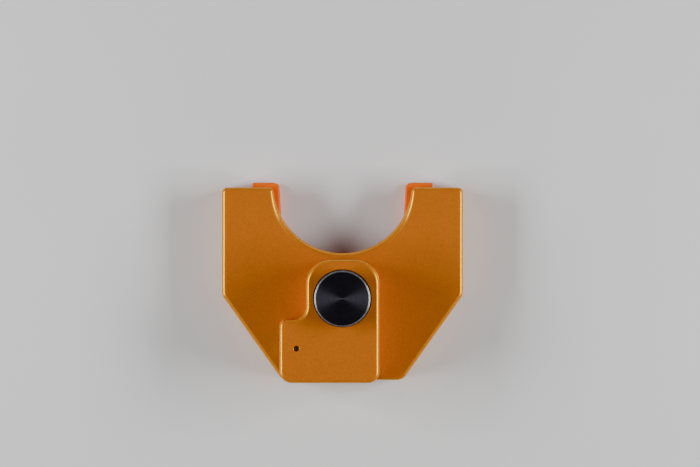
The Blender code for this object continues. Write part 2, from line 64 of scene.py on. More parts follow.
# Horseshoe casting
WIDTH = 112.0
ARM_END = 89.5
FRONT_HALF = 28.0
CHAMFER_END = 39.5
BACK = 1.0
PLATE_TOP = 20.5
PLATE_EDGE = 1.8
THROAT_RADIUS = 32.3
THROAT_Y = 91.3
THROAT_EDGE = 3.2  # the upper edge is rounder along the throat than round the outside
THROAT_EDGE_FROM = 86.0  # it grows from here towards the front
THROAT_EDGE_GROWTH = 11.0
ARM_CORNER = 2.2
ARM_SIDE_CORNER = 2.4
FRONT_CORNER = 5.0
BLOCK_LOW = 15.6
BLOCK_TOP = 44.5
BLOCK_EDGE = 1.6
BLOCK_LEFT = -28.6
BLOCK_RIGHT = 16.8
BLOCK_REAR = 28.6
BOSS_HALF = 16.4
BOSS_REAR = 56.0
FILLET = 0.35
BORE_LIP = 0.45
PIN_HOLE_LIP = 0.2
EJECTOR_MARKS = [(-49.0, 78.0), (49.0, 78.0), (-49.0, 46.0), (49.0, 46.0), (-18.0, 7.0), (18.0, 7.0)]
EJECTOR_RADIUS = 2.6
EJECTOR_DEPTH = 0.25

# Jaw liner
LINER_CENTRE = 58.5
LINER_INNER = 29.0
LINER_FLARE = 78.0
LINER_MOUTH = 29.8
LINER_CORNER = 2.0
LINER_GROOVE = 39.0
LINER_OUTER = 42.0
LINER_END = 91.8
LINER_TOP = 14.9
POCKET_TOP = 15.2
GROOVE_LOW = 4.0
GROOVE_HIGH = 12.4
MOULD_MARK_RING = 36.0
MOULD_MARK_RADIUS = 2.0
MOULD_MARK_DEPTH = 0.2

# Plunger, on a vertical axis
PLUNGER_Y = 38.6
PLUNGER_AXIS = (0.0, PLUNGER_Y)
PLUNGER_RADIUS = 12.75
PLUNGER_BORE = PLUNGER_RADIUS + GAP
PLUNGER_TOP = 52.5
PLUNGER_SKIRT = 35.1
LOCK_GROOVE_RADIUS = 10.4
LOCK_GROOVE_LOW = 38.8
LOCK_GROOVE_HIGH = 44.4
SPRING_BORE = 8.8
SPRING_CEILING = 49.0
SPRING_RADIUS = 6.6
SPRING_WIRE = 1.4
SPRING_TURNS = 6.5
TURNING_START = 0.9  # the fine rings that the lathe leaves on the head
TURNING_PITCH = 0.4
TURNING_DEPTH = 0.035
SHAFT_RADIUS = 4.0
SHAFT_END = 20.0
STUD_RADIUS = 2.5
STUD_END = 15.5
NOSE_RADIUS = 6.0
NOSE_TIP = 13.0
NOSE_TOP = 19.7
NOSE_CHAMFER = 1.5
NOSE_HOLE_END = NOSE_TIP + 2.2
WEB_LOW = 20.3
WEB_TOP = 22.8
BUSH_RADIUS = 5.0
BUSH_FLANGE_RADIUS = 7.5
BUSH_FLANGE_TOP = 24.1

# Lock barrel, on an axis across the block
BARREL_Y = 14.5
BARREL_Z = 31.2
BARREL_AXIS = (BARREL_Z, BARREL_Y)  # in a plane that faces -x
BARREL_BORE = 8.8
BARREL_FRONT = -27.4
BORE_END = 5.3
BARREL_RADIUS = 8.5
BARREL_REAR = -5.6
PLUG_BORE = 6.3
PLUG_RADIUS = 6.0
PLUG_FRONT = -26.7
PLUG_REAR = -5.9
TAIL_RADIUS = 4.5
TAIL_REAR = -2.5
CLIP_GROOVE_RADIUS = 3.6
CLIP_GROOVE_FRONT = -5.2
CLIP_GROOVE_REAR = -4.0
CLIP_INNER = 3.9
CLIP_OUTER = 7.2
CLIP_FRONT = -5.0
CLIP_REAR = -4.2
CLIP_MOUTH_HALF = 2.6
CAP_FRONT = -27.6
CAP_REAR = -27.0
KEY_SLOT_HALF_WIDE = 1.1
KEY_SLOT_HALF_TALL = 4.1
KEYWAY_HALF = 0.95
KEYWAY_END = -7.0
DRIVE_OFFSET = 1.8 * math.sin(math.radians(45.0))
DRIVE_RADIUS = 1.0
DRIVE_END = 1.6
DRIVE_SLOT_HALF = DRIVE_RADIUS + 0.35
DRIVE_SLOT_DEPTH = 3.1
DRIVE_SLOT_END = 2.0
PAWL_LOW = (-2.2, 9.9, 27.1)
PAWL_HIGH = (3.8, 25.3, 32.1)
PAWL_CHANNEL_LOW = (-2.5, BARREL_Y, 26.8)
PAWL_CHANNEL_HIGH = (4.1, PLUNGER_Y, 32.4)
PIN_AXIS = (-20.9, 15.7)
PIN_RADIUS = 1.0
PIN_HOLE = 1.3
PIN_TOP = 43.0
PIN_LOW = 38.1
WAFER_PLACES = [-18.0, -15.6, -13.2, -10.8, -8.4]
WAFER_THICK = 0.9
WAFER_HALF = 2.2
WAFER_LOW = -5.4
WAFER_HIGH = 5.5
EAR_LOW = -0.4
EAR_HIGH = 0.5
EAR_FAR = 3.9
WAFER_WINDOW_HALF = 1.2
WAFER_WINDOW_TALL = 7.0
WAFER_WINDOW_LOW = -4.3
WAFER_WINDOW_STEP = 0.35  # the windows stand at three heights
SLEEVE_SLOT_END = 1.2  # past the outer wafers' places
SLEEVE_SLOT_SIDE = 0.4
SLEEVE_SLOT_NEAR = 2.0
SLEEVE_SLOT_FAR = 7.2
SPRING_POCKET_HALF = 0.86
SPRING_POCKET_NEAR = 1.5
SPRING_POCKET_LOW = -3.5
WAFER_SPRING_OUT = 3.3
WAFER_SPRING_LOW = -3.2
WAFER_SPRING_RADIUS = 0.45
WAFER_SPRING_TURNS = 4.5
FINE_WIRE = 0.22
SHUTTER_X = -26.1
SHUTTER_Y = BARREL_Y - 1.7
SHUTTER_ROD_RADIUS = 0.45
SHUTTER_ROD_HALF = 4.7
SHUTTER_FLAP_LOW = -2.7
SHUTTER_FLAP_HIGH = 4.4
SHUTTER_FLAP_FAR = 1.25
SHUTTER_FLAP_HALF_THICK = 0.25
SHUTTER_RECESS_DEPTH = 3.8
SHUTTER_RECESS_HALF_TALL = 5.0
SHUTTER_RECESS_NEAR = 3.0
SHUTTER_RECESS_FAR = 1.6
SHUTTER_SPRING_RADIUS = 0.9
SHUTTER_SPRING_TURNS = 3.0
FACE_OUTER = -28.5
FACE_INNER = -27.7
FACE_LOW = 22.4
FACE_HIGH = 41.0
FACE_NEAR = 3.2
FACE_FAR = 25.0
FACE_CORNER = 3.0
FACE_WINDOW = 6.5
FACE_RAISED_EDGE = 1.3
FACE_FIELD_DEPTH = 0.35
WINDOW_RING = 1.7

# Corners closer than this are one corner, in metres: in a new mesh, and where a Boolean has left them
SAME_CORNER = 1e-7
BOOLEAN_CORNER = 1e-6


# Outlines, as lists of points in a plane


def arc(centre, radius, start, end, steps):
    """Points on a circle from one angle to another, both in degrees."""
    angles = [math.radians(start + (end - start) * n / steps) for n in range(steps + 1)]
    return [(centre[0] + radius * math.cos(a), centre[1] + radius * math.sin(a)) for a in angles]


def rounded(corners, step_degrees=5.0, closed=True):
    """An outline from (x, y, radius) corners, each one turned into an arc that touches both of its sides."""
    outline = []
    for n, (x, y, radius) in enumerate(corners):
        corner = Vector((x, y))
        is_end = not closed and n in (0, len(corners) - 1)
        if radius == 0.0 or is_end:
            outline.append((x, y))
            continue
        before = Vector(corners[n - 1][:2])
        after = Vector(corners[(n + 1) % len(corners)][:2])
        back = (before - corner).normalized()
        ahead = (after - corner).normalized()
        opening = back.angle(ahead)
        reach = radius / math.tan(opening / 2.0)
        centre = corner + (back + ahead).normalized() * (radius / math.sin(opening / 2.0))
        first = corner + back * reach - centre
        turn = (corner + ahead * reach - centre).angle_signed(first)
        steps = max(2, round(abs(math.degrees(turn)) / step_degrees))
        for k in range(steps + 1):
            spoke = Matrix.Rotation(turn * k / steps, 2) @ first
            outline.append(tuple(centre + spoke))
    return outline


def rounded_box(low, near, high, far, radius, step_degrees=5.0):
    corners = [(low, near), (high, near), (high, far), (low, far)]
    return rounded([(x, y, radius) for x, y in corners], step_degrees)


def signed_area(outline):
    pairs = zip(outline, outline[1:] + outline[:1])
    return sum(a[0] * b[1] - b[0] * a[1] for a, b in pairs) / 2.0


def inset(outline, amounts):
    """A closed outline moved inwards, point for point, by one amount or by a list of them."""
    least_opening = 0.3  # a sharp corner moves no further than this allows
    side = math.copysign(1.0, signed_area(outline))
    if not isinstance(amounts, list):
        amounts = [amounts] * len(outline)
    moved = []
    for n, (point, amount) in enumerate(zip(outline, amounts)):
        here = Vector(point)
        arriving = (here - Vector(outline[n - 1])).normalized()
        leaving = (Vector(outline[(n + 1) % len(outline)]) - here).normalized()
        first = Vector((-arriving.y, arriving.x)) * side
        second = Vector((-leaving.y, leaving.x)) * side
        middle = (first + second).normalized()
        moved.append(tuple(here + middle * (amount / max(middle.dot(first), least_opening))))
    return moved


def edge_levels(low, high, edge, steps):
    """(height, inset) pairs that round the lower and the upper edge of a slab."""
    turns = [math.pi / 2.0 * k / steps for k in range(steps + 1)]
    lower = [(low + edge * (1.0 - math.cos(t)), edge * (1.0 - math.sin(t))) for t in turns]
    upper = [(high - edge * (1.0 - math.sin(t)), edge * (1.0 - math.cos(t))) for t in turns]
    return lower + upper


# Meshes: shapes come in as millimetres from the front face, and are made in metres in the CAD's frame


def in_frame(x, y, z):
    return Vector((x, y + FRONT_Y, z)) * MM


def facing_up(across, along, height):
    return in_frame(across, along, height)


def facing_left(across, along, height):
    """A plane that faces -x: across is the height over the floor, along is y, and height runs towards -x."""
    return in_frame(-height, along, across)


def weld(mesh, distance, face_outwards=False):
    """Joins corners that are closer than distance."""
    work = bmesh.new()
    work.from_mesh(mesh)
    bmesh.ops.remove_doubles(work, verts=work.verts, dist=distance)
    if face_outwards:
        bmesh.ops.recalc_face_normals(work, faces=work.faces)
    work.to_mesh(mesh)
    work.free()


def add_mesh(name, points, faces):
    mesh = bpy.data.meshes.new(name)
    mesh.from_pydata([tuple(p) for p in points], [], faces)
    weld(mesh, SAME_CORNER, face_outwards=True)
    made = bpy.data.objects.new(name, mesh)
    bpy.context.scene.collection.objects.link(made)
    return made


def skin(name, rings):
    """A closed surface over rings of as many points each, with a flat face on its first and last rings."""
    count = len(rings[0])
    points = [p for ring in rings for p in ring]
    faces = []
    for level in range(len(rings) - 1):
        for n in range(count):
            a = level * count + n
            b = level * count + (n + 1) % count
            faces.append((a, b, b + count, a + count))
    faces.append(tuple(range(count)))
    faces.append(tuple(range(len(points) - count, len(points))))
    return add_mesh(name, points, faces)


def slab(name, outline, levels, facing=facing_up):
    """A solid over a flat outline, with one ring for each (height, inset) level."""
    rings = []
    for height, amount in levels:
        ring = inset(outline, amount) if amount else outline
        rings.append([facing(x, y, height) for x, y in ring])
    return skin(name, rings)


def turned(name, profile, steps, centre, facing=facing_up, closed=False):
    """A turned solid. The profile is (radius, height), and centre is where its axis stands in its plane."""
    points = []
    rings = []
    for radius, height in profile:
        count = 1 if radius == 0.0 else steps
        rings.append([len(points) + n for n in range(count)])
        for n in range(count):
            angle = math.tau * n / steps
            across = centre[0] + radius * math.cos(angle)
            along = centre[1] + radius * math.sin(angle)
            points.append(facing(across, along, height))
    pairs = list(zip(rings, rings[1:]))
    if closed:
        pairs.append((rings[-1], rings[0]))
    faces = []
    for upper, lower in pairs:
        for n in range(steps):
            m = (n + 1) % steps
            corners = [ring[k % len(ring)] for ring, k in ((upper, n), (upper, m), (lower, m), (lower, n))]
            faces.append(tuple(dict.fromkeys(corners)))
    return add_mesh(name, points, [f for f in faces if len(f) > 2])


def block(name, low, high):
    outline = [(low[0], low[1]), (high[0], low[1]), (high[0], high[1]), (low[0], high[1])]
    return slab(name, outline, [(low[2], 0.0), (high[2], 0.0)])


def wire(name, path, radius, sides):
    """A round wire along a path of points in the CAD's frame, in metres, with flat ends."""
    rings = []
    for n, here in enumerate(path):
        ahead = path[min(n + 1, len(path) - 1)] - path[max(n - 1, 0)]
        side = ahead.cross(Vector((0.0, 0.0, 1.0))).normalized()
        up = side.cross(ahead).normalized()
        angles = [math.tau * k / sides for k in range(sides)]
        rings.append([here + (side * math.cos(a) + up * math.sin(a)) * radius for a in angles])
    return skin(name, rings)


def combine(target, other, operation):
    """Applies one Boolean to target and removes the other solid."""
    step = target.modifiers.new(operation, "BOOLEAN")
    step.operation = operation
    step.solver = "EXACT"
    step.object = other
    bpy.context.view_layer.update()
    graph = bpy.context.evaluated_depsgraph_get()
    target.data = bpy.data.meshes.new_from_object(target.evaluated_get(graph))
    target.modifiers.clear()
    bpy.data.objects.remove(other, do_unlink=True)
    return target


def cut(target, *cutters):
    for cutter in cutters:
        combine(target, cutter, "DIFFERENCE")
    return target


def present(obj, finish, body, node, smooth_angle=32.0):
    """Shades and paints a finished piece, and puts it on its CAD body in place of its CAD node."""
    weld(obj.data, BOOLEAN_CORNER)
    obj.data.materials.clear()
    obj.data.materials.append(finish)
    obj.data.shade_smooth()
    obj.data.set_sharp_from_angle(angle=math.radians(smooth_angle))
    normals = obj.modifiers.new("flat faces stay flat", "WEIGHTED_NORMAL")
    normals.keep_sharp = True
    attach(obj, body)
    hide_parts(node)


# Materials


class Finish:
    """One material on a Principled shader, with short ways to add nodes and link them."""

    def __init__(self, name, sockets):
        self.material = bpy.data.materials.new(name)
        self.material.use_nodes = True
        self.tree = self.material.node_tree
        self.shader = self.tree.nodes["Principled BSDF"]
        for socket, value in sockets.items():
            self.shader.inputs[socket].default_value = value
        self.place = self.add("ShaderNodeTexCoord").outputs["Object"]

    def add(self, kind, inputs=None, **settings):
        node = self.tree.nodes.new(kind)
        for key, value in settings.items():
            setattr(node, key, value)
        for socket, value in (inputs or {}).items():
            self.feed(node.inputs[socket], value)
        return node

    def feed(self, socket, value):
        if isinstance(value, bpy.types.NodeSocket):
            self.tree.links.new(value, socket)
        else:
            socket.default_value = value

    def drive(self, name, value):
        self.feed(self.shader.inputs[name], value)

    def stretched(self, scale):
        return self.add("ShaderNodeMapping", {"Vector": self.place, "Scale": scale}).outputs["Vector"]

    def noise(self, size_mm, detail, roughness=0.5, place=None):
        """Noise with features about size_mm across, centred on 0.5."""
        inputs = {
            "Vector": place or self.place,
            "Scale": 1.0 / (size_mm * MM),
            "Detail": detail,
            "Roughness": roughness,
        }
        return self.add("ShaderNodeTexNoise", inputs).outputs["Fac"]

    def cells(self, size_mm):
        """A random colour for each cell about size_mm across."""
        inputs = {"Vector": self.place, "Scale": 1.0 / (size_mm * MM)}
        return self.add("ShaderNodeTexVoronoi", inputs).outputs["Color"]

    def spread(self, value, low, high, start=0.0, end=1.0):
        """The value's range from start to end spread over low to high."""
        inputs = {"Value": value, "From Min": start, "From Max": end, "To Min": low, "To Max": high}
        return self.add("ShaderNodeMapRange", inputs).outputs["Result"]

    def maths(self, operation, first, second=0.5):
        return self.add("ShaderNodeMath", {0: first, 1: second}, operation=operation).outputs[0]

    def vectors(self, operation, first, second=(0.0, 0.0, 0.0), output="Vector"):
        inputs = {0: first, 1: second}
        return self.add("ShaderNodeVectorMath", inputs, operation=operation).outputs[output]

    def mixed(self, share, first, second, blend="MIX"):
        """Two colours mixed by share."""
        inputs = {0: share, 6: first, 7: second}
        return self.add("ShaderNodeMix", inputs, data_type="RGBA", blend_type=blend).outputs[2]

    def brightened(self, colour, factor):
        """The colour times a factor that varies over the surface."""
        grey = self.add("ShaderNodeCombineColor", {0: factor, 1: factor, 2: factor}).outputs["Color"]
        return self.mixed(1.0, colour, grey, "MULTIPLY")

    def edges(self, radius_mm):
        """1 on sharp and rounded edges, and 0 on flat ground."""
        soft = self.add("ShaderNodeBevel", {"Radius": radius_mm * MM}, samples=6).outputs["Normal"]
        true = self.add("ShaderNodeNewGeometry").outputs["True Normal"]
        likeness = self.vectors("DOT_PRODUCT", soft, true, "Value")
        return self.spread(likeness, 1.0, 0.0, 0.80, 0.995)

    def slope(self, start, end):
        """The surface's upward part, which is 1 on flat ground and 0 on a wall, spread from start to end."""
        normal = self.add("ShaderNodeTexCoord").outputs["Normal"]
        height = self.add("ShaderNodeSeparateXYZ", {"Vector": normal}).outputs["Z"]
        return self.spread(self.maths("ABSOLUTE", height), 0.0, 1.0, start, end)

    def bumps(self, *layers):
        """Stacks bump layers, each one (height, depth in mm)."""
        normal = None
        for height, depth_mm in layers:
            inputs = {"Height": height, "Distance": depth_mm * MM, "Strength": 1.0}
            if normal is not None:
                inputs["Normal"] = normal
            normal = self.add("ShaderNodeBump", inputs).outputs["Normal"]
        self.drive("Normal", normal)


def gold_paint():
    """Metallic gold paint with fine flake and a thinly laid gloss coat. Off the flats it is smoother, and its
    colour is pulled towards a paler yellow that is partly thinner paint and partly a painted highlight.
    """
    f = Finish("gold_flake_paint", {
        "Metallic": 0.25,
        "IOR": 2.5,
        "Specular Tint": (0.88, 0.80, 0.0, 1.0),
        "Coat Weight": 0.04,
        "Coat Roughness": 0.08,
    })
    flake = f.add("ShaderNodeSeparateColor", {"Color": f.cells(0.26)}).outputs["Red"]
    cloud = f.noise(9.0, 3.0)
    shade = f.maths("MULTIPLY", f.spread(flake, 0.84, 1.16), f.spread(cloud, 0.95, 1.05))
    gold = (0.66, 0.160, 0.015, 1.0)
    # The paler yellow on the rounded edges is partly paint that is thinner there and partly a painted
    # highlight colour.
    thin_paint_and_painted_highlight = (0.76, 0.27, 0.012, 1.0)
    edge = f.maths("MULTIPLY", f.slope(0.97, 0.85), f.slope(0.10, 0.40))
    wear_and_painted_highlight = f.maths("MULTIPLY", edge, f.spread(f.noise(1.6, 4.0), 0.2, 0.6, 0.40, 0.60))
    f.drive("Base Color", f.brightened(f.mixed(wear_and_painted_highlight, gold, thin_paint_and_painted_highlight), shade))
    skin_roughness = f.spread(f.noise(3.0, 4.0), 0.36, 0.42)
    f.drive("Roughness", f.maths("SUBTRACT", skin_roughness, f.maths("MULTIPLY", edge, 0.15)))
    f.bumps((f.noise(1.7, 2.0), 0.010), (f.noise(0.30, 2.0), 0.003))
    return f.material


def orange_plastic():
    """Moulded polyurethane with a fine matt grain."""
    f = Finish("orange_liner_plastic", {
        "Specular IOR Level": 0.15,
        "Subsurface Weight": 0.06,
        "Subsurface Radius": (0.004, 0.0012, 0.0004),
        "Subsurface Scale": 0.5,
    })
    cloud = f.noise(6.0, 3.0)
    base = (0.86, 0.135, 0.0, 1.0)
    scuffed = (0.88, 0.17, 0.002, 1.0)
    edge = f.maths("MULTIPLY", f.edges(0.6), f.spread(f.noise(1.2, 4.0), 0.0, 0.6, 0.42, 0.70))
    f.drive("Base Color", f.mixed(edge, f.brightened(base, f.spread(cloud, 0.92, 1.06)), scuffed))
    f.drive("Roughness", f.spread(f.noise(0.9, 3.0), 0.40, 0.54))
    f.bumps((f.noise(0.35, 2.0), 0.012), (f.noise(4.0, 2.0), 0.03))
    return f.material


def blacked_steel():
    """Turned steel, chemically blacked and oiled: its turning marks run round the axis."""
    f = Finish("blacked_turned_steel", {"Metallic": 0.85, "Anisotropic": 0.88, "Anisotropic Rotation": 0.25})
    offset = f.vectors("SUBTRACT", f.place, tuple(in_frame(0.0, PLUNGER_Y, 0.0)))
    radius = f.vectors("LENGTH", f.vectors("MULTIPLY", offset, (1.0, 1.0, 0.0)), output="Value")

    def turning_marks(per_metre, detail):
        """Noise that changes only with the distance from the axis."""
        inputs = {"W": f.maths("MULTIPLY", radius, per_metre), "Scale": 1.0, "Detail": detail}
        return f.add("ShaderNodeTexNoise", inputs, noise_dimensions="1D").outputs["Fac"]

    rings = turning_marks(per_metre=9000.0, detail=3.0)
    bands = turning_marks(per_metre=900.0, detail=2.0)
    mottle = f.noise(2.2, 4.0)
    black = (0.036, 0.032, 0.044, 1.0)
    shade = f.maths("MULTIPLY", f.spread(bands, 0.7, 1.3), f.spread(mottle, 0.8, 1.2))
    # The bare steel mixed in on the outer chamfer is partly blacking worn off the rim and partly a painted
    # highlight on that rim.
    steel = (0.42, 0.42, 0.44, 1.0)
    chamfer = f.maths("MULTIPLY", f.slope(0.95, 0.85), f.slope(0.20, 0.50))
    outside = f.spread(radius, 0.0, 1.0, 0.8 * PLUNGER_RADIUS * MM, 0.9 * PLUNGER_RADIUS * MM)
    wear_and_painted_highlight = f.spread(f.noise(0.8, 4.0), 0.4, 0.9, 0.35, 0.65)
    edge = f.maths("MULTIPLY", f.maths("MULTIPLY", chamfer, outside), wear_and_painted_highlight)
    f.drive("Base Color", f.mixed(edge, f.brightened(black, shade), steel))
    f.drive("Roughness", f.spread(rings, 0.26, 0.42))
    tangent = f.add("ShaderNodeTangent", direction_type="RADIAL", axis="Z").outputs["Tangent"]
    f.drive("Tangent", tangent)
    f.bumps((rings, 0.004))
    return f.material


def bare_metal(name, colour, roughness, grain_mm, stretch=(1.0, 1.0, 1.0)):
    """A plain metal with tool marks, faint tarnish and brighter edges."""
    tarnish = 0.3
    f = Finish(name, {"Metallic": 1.0})
    marks = f.noise(grain_mm, 4.0, 0.6, f.stretched(stretch))
    cloud = f.noise(3.5, 4.0)
    dark = tuple(c * (1.0 - tarnish) for c in colour[:3]) + (1.0,)
    bright = tuple(min(1.0, c * 1.25) for c in colour[:3]) + (1.0,)
    body = f.mixed(f.spread(cloud, 0.0, 0.7, 0.42, 0.72), colour, dark)
    f.drive("Base Color", f.mixed(f.maths("MULTIPLY", f.edges(0.15), 0.6), body, bright))
    f.drive("Roughness", f.spread(marks, roughness - 0.08, roughness + 0.12, 0.3, 0.7))
    f.bumps((marks, 0.006))
    return f.material


def black_plastic():
    """Black moulded plastic with a spark-eroded grain."""
    f = Finish("black_grained_plastic", {"IOR": 1.5})
    grain = f.noise(0.28, 2.0)
    black = (0.012, 0.012, 0.013, 1.0)
    rubbed = (0.045, 0.045, 0.047, 1.0)
    f.drive("Base Color", f.mixed(f.edges(0.3), black, rubbed))
    f.drive("Roughness", f.spread(grain, 0.42, 0.62, 0.3, 0.7))
    f.bumps((grain, 0.02))
    return f.material


GOLD = gold_paint()
ORANGE = orange_plastic()
BLACKED = blacked_steel()
BLACK_PLASTIC = black_plastic()
HARD_STEEL = bare_metal("hardened_steel", (0.42, 0.42, 0.43, 1.0), 0.30, 0.3)
SPRING_STEEL = bare_metal("spring_wire", (0.34, 0.34, 0.36, 1.0), 0.32, 0.2)
BRONZE = bare_metal("sintered_bronze", (0.46, 0.27, 0.12, 1.0), 0.42, 0.25)
ZINC = bare_metal("die_cast_zinc", (0.48, 0.49, 0.51, 1.0), 0.42, 0.5)
BRASS = bare_metal("machined_brass", (0.62, 0.43, 0.16, 1.0), 0.30, 0.2)
STAINLESS = bare_metal("brushed_stainless", (0.58, 0.58, 0.58, 1.0), 0.28, 0.25, (1.0, 1.0, 0.08))


# Casting


def horseshoe_outline():
    half = WIDTH / 2.0
    reach = THROAT_RADIUS + ARM_CORNER
    rise = THROAT_Y - ARM_END + ARM_CORNER
    corner_x = math.sqrt(reach ** 2 - rise ** 2)
    corner_y = ARM_END - ARM_CORNER
    lean = math.degrees(math.asin(rise / reach))
    sides = rounded([
        (corner_x, ARM_END, 0.0),
        (half, ARM_END, ARM_SIDE_CORNER),
        (half, CHAMFER_END, FRONT_CORNER),
        (FRONT_HALF, 0.0, FRONT_CORNER),
        (-FRONT_HALF, 0.0, FRONT_CORNER),
        (-half, CHAMFER_END, FRONT_CORNER),
        (-half, ARM_END, ARM_SIDE_CORNER),
        (-corner_x, ARM_END, 0.0),
    ])
    right = arc((corner_x, corner_y), ARM_CORNER, 180.0 - lean, 90.0, steps=14)
    left = arc((-corner_x, corner_y), ARM_CORNER, 90.0, lean, steps=14)
    opening = arc((0.0, THROAT_Y), THROAT_RADIUS, 180.0 + lean, 360.0 - lean, steps=64)
    return right[:-1] + sides + left[1:] + opening[1:-1]


def block_outline():
    return rounded([
        (BLOCK_LEFT, 0.0, 5.5),
        (BLOCK_RIGHT, 0.0, 5.0),
        (BLOCK_RIGHT, BOSS_REAR, 11.0),
        (-BOSS_HALF, BOSS_REAR, 11.0),
        (-BOSS_HALF, BLOCK_REAR, 6.0),
        (BLOCK_LEFT, BLOCK_REAR, 3.0),
    ])


def throat(radius, end):
    """A U shape: a half circle open towards +y, with straight sides up to end."""
    return [(radius, end)] + arc((0.0, LINER_CENTRE), radius, 0.0, -180.0, steps=64) + [(-radius, end)]


def block_fillet():
    """The cast fillet round the foot of the block, kept inside the plate's own edge."""
    steps = 6
    root = 1.0
    reach = 5.0
    tucked_in = 0.02  # its upper end lies just inside the block's wall
    margin = 0.9  # from the plate's outline
    levels = [(PLATE_TOP - root, -FILLET)]
    for k in range(steps + 1):
        turn = math.pi / 2.0 * k / steps
        levels.append((PLATE_TOP + FILLET * (1.0 - math.cos(turn)), -FILLET * (1.0 - math.sin(turn))))
    levels[-1] = (PLATE_TOP + FILLET, tucked_in)
    fillet = slab("fillet", block_outline(), levels)
    limits = [(PLATE_TOP - reach, margin), (PLATE_TOP + reach, margin)]
    inside = slab("fillet_limit", horseshoe_outline(), limits)
    return combine(fillet, inside, "INTERSECT")


def rim_cutter(radius, low, surface, lip):
    """The profile of a bore down to low whose mouth in a flat surface is rounded by lip."""
    steps = 4
    above = surface + 8.0
    turns = [math.pi / 2.0 * k / steps for k in range(steps + 1)]
    mouth = [(radius + lip * (1.0 - math.cos(t)), surface - lip * (1.0 - math.sin(t))) for t in turns]
    return [(0.0, low), (radius, low)] + mouth + [(radius + lip, above), (0.0, above)]


def face_outline(grow):
    """The rounded oblong of the block's keyed side, in a plane that faces -x."""
    return rounded_box(FACE_LOW - grow, FACE_NEAR - grow, FACE_HIGH + grow, FACE_FAR + grow, FACE_CORNER)


def top_edge(x, y):
    """The radius of the plate's upper edge at a point of its outline."""
    if abs(x) > THROAT_RADIUS or y < BOSS_REAR:
        return PLATE_EDGE
    growth = min(max((THROAT_EDGE_FROM - y) / THROAT_EDGE_GROWTH, 0.0), 1.0)
    return PLATE_EDGE + (THROAT_EDGE - PLATE_EDGE) * growth


def mark_cutter(name, spot, steps, low, top, radius, bevel):
    """A shallow round mark in a lower face. Its floor is at top, and bevel is its edge's width and height."""
    width, height = bevel
    profile = [(0.0, low), (radius, low), (radius, top - height), (radius - width, top), (0.0, top)]
    return turned(name, profile, steps, spot)


def make_plate():
    outline = horseshoe_outline()
    edges = [top_edge(x, y) for x, y in outline]
    steps = 7
    rings = []
    lower_edge = edge_levels(BACK, PLATE_TOP, PLATE_EDGE, steps)[:steps + 1]
    for height, amount in lower_edge:
        rings.append([in_frame(x, y, height) for x, y in inset(outline, amount)])
    for k in range(steps + 1):
        turn = math.pi / 2.0 * k / steps
        ring = inset(outline, [edge * (1.0 - math.cos(turn)) for edge in edges])
        drops = [edge * (1.0 - math.sin(turn)) for edge in edges]
        rings.append([in_frame(x, y, PLATE_TOP - drop) for (x, y), drop in zip(ring, drops)])
    plate = skin("casting", rings)
    bevel = 0.6
    below = -4.0
    beyond_arms = ARM_END + 9.0
    pocket_levels = [(below, -bevel), (BACK, -bevel), (BACK + bevel, 0.0), (POCKET_TOP, 0.0)]
    cut(plate, slab("jaw_pocket", throat(LINER_OUTER + GAP, beyond_arms), pocket_levels))
    floor = BACK + EJECTOR_DEPTH
    for n, spot in enumerate(EJECTOR_MARKS):
        cut(plate, mark_cutter(f"ejector_mark_{n}", spot, 40, 0.0, floor, EJECTOR_RADIUS, (0.25, 0.1)))
    return plate


def make_block():
    """The raised block and boss, with its bores and the pawl's way between them."""
    raised = slab("raised_block", block_outline(), edge_levels(BLOCK_LOW, BLOCK_TOP, BLOCK_EDGE, 8))
    bore_rim = rim_cutter(PLUNGER_BORE, WEB_TOP, BLOCK_TOP, BORE_LIP)
    plunger_bore = turned("plunger_bore", bore_rim, 96, PLUNGER_AXIS)
    bore_mouth = 35.0
    bore_profile = [(0.0, -BORE_END), (BARREL_BORE, -BORE_END), (BARREL_BORE, bore_mouth), (0.0, bore_mouth)]
    barrel_bore = turned("barrel_bore", bore_profile, 72, BARREL_AXIS, facing_left)
    bevel = 0.4
    side = -BLOCK_LEFT
    recess_levels = [(-BARREL_FRONT, 0.0), (side - bevel, 0.0), (side, -bevel), (40.0, -bevel)]
    face_recess = slab("face_recess", face_outline(GAP), recess_levels, facing_left)
    pawl_channel = block("pawl_channel", PAWL_CHANNEL_LOW, PAWL_CHANNEL_HIGH)
    pin_rim = rim_cutter(PIN_HOLE, BARREL_Z, BLOCK_TOP, PIN_HOLE_LIP)
    pin_hole = turned("pin_hole", pin_rim, 40, PIN_AXIS)
    return cut(raised, plunger_bore, barrel_bore, face_recess, pawl_channel, pin_hole)


def make_casting():
    casting = make_plate()
    combine(casting, block_fillet(), "UNION")
    combine(casting, make_block(), "UNION")
    above_web = WEB_TOP + 1.0
    in_throat = 10.0
    nose_bore = [
        (0.0, above_web),
        (BUSH_RADIUS + GAP, above_web),
        (BUSH_RADIUS + GAP, WEB_LOW),
        (NOSE_RADIUS + GAP, WEB_LOW),
        (NOSE_RADIUS + GAP, in_throat),
        (0.0, in_throat),
    ]
    cut(casting, turned("nose_bore", nose_bore, 72, PLUNGER_AXIS))
    present(casting, GOLD, "housing", "lock_body")


# Jaw liner


def liner_mouth(y):
    """How far the liner's inner walls stand back at y, from their flare and their rounded ends."""
    flare = (LINER_MOUTH - LINER_INNER) * max(0.0, (y - LINER_FLARE) / (LINER_END - LINER_FLARE))
    near = max(0.0, y - (LINER_END - LINER_CORNER))
    return flare + LINER_CORNER - math.sqrt(LINER_CORNER ** 2 - near ** 2)


